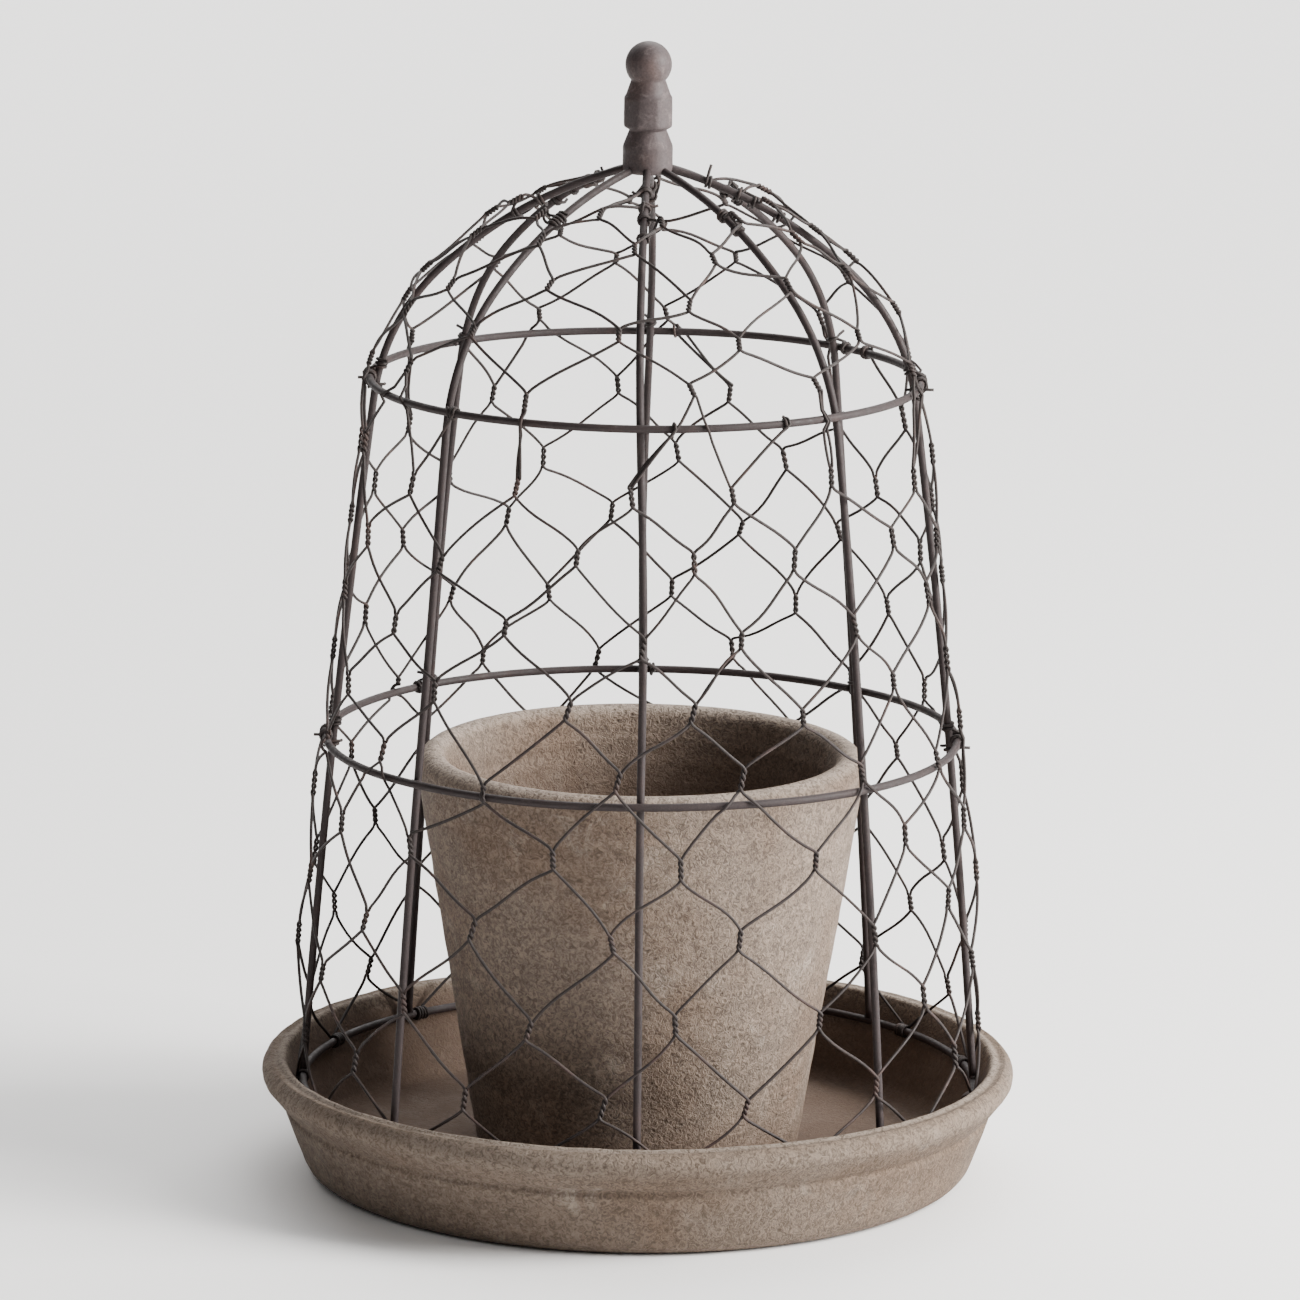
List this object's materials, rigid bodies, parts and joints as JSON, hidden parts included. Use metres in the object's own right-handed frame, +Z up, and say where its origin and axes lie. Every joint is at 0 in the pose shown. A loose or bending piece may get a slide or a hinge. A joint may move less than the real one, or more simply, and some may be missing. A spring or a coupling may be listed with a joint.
{
  "type": "garden cloche with saucer and pot",
  "caption": "Domed wire garden cloche with hexagonal netting and a turned finial, standing in a clay saucer over a tapered clay pot.",
  "frame": {"origin": "centre of the saucer's underside, on the surface that it stands on", "axes": "+Z up through the finial; -Y is the front, where one rib stands in the middle"},
  "size_m": [0.241, 0.241, 0.3633],
  "materials": {
    "saucer_clay": "matte weathered taupe clay, sandy grain",
    "pot_clay": "matte weathered taupe clay, sandy grain",
    "finial_iron": "matte rusty brown coat on cast metal",
    "frame_wire": "matte rusty brown coat on steel wire",
    "netting_wire": "matte rusty brown coat on thin steel wire"
  },
  "bodies": {
    "saucer": {"saucer": "saucer_clay"},
    "pot": {"pot": "pot_clay"},
    "cloche": {"finial": "finial_iron", "rib_1": "frame_wire", "rib_2": "frame_wire", "rib_3": "frame_wire", "rib_4": "frame_wire", "rib_5": "frame_wire", "rib_6": "frame_wire", "rib_7": "frame_wire", "rib_8": "frame_wire", "base_hoop": "frame_wire", "lower_hoop": "frame_wire", "upper_hoop": "frame_wire", "net_low_1": "netting_wire", "net_low_2": "netting_wire", "net_low_3": "netting_wire", "net_low_4": "netting_wire", "net_low_5": "netting_wire", "net_low_6": "netting_wire", "net_low_7": "netting_wire", "net_low_8": "netting_wire", "net_mid_1": "netting_wire", "net_mid_2": "netting_wire", "net_mid_3": "netting_wire", "net_mid_4": "netting_wire", "net_mid_5": "netting_wire", "net_mid_6": "netting_wire", "net_mid_7": "netting_wire", "net_mid_8": "netting_wire", "net_dome_1": "netting_wire", "net_dome_2": "netting_wire", "net_dome_3": "netting_wire", "net_dome_4": "netting_wire", "net_dome_5": "netting_wire", "net_dome_6": "netting_wire", "net_dome_7": "netting_wire", "net_dome_8": "netting_wire", "base_ties": "netting_wire", "lower_ties": "netting_wire", "upper_ties": "netting_wire", "crown_ties": "netting_wire"}
  },
  "joints": [
    {"name": "cloche_lift", "type": "slide", "parent": "saucer", "child": "cloche", "axis": [0, 0, 1], "range_m": [0, 0.3]},
    {"name": "pot_lift", "type": "slide", "parent": "saucer", "child": "pot", "axis": [0, 0, 1], "range_m": [0, 0.12]}
  ]
}
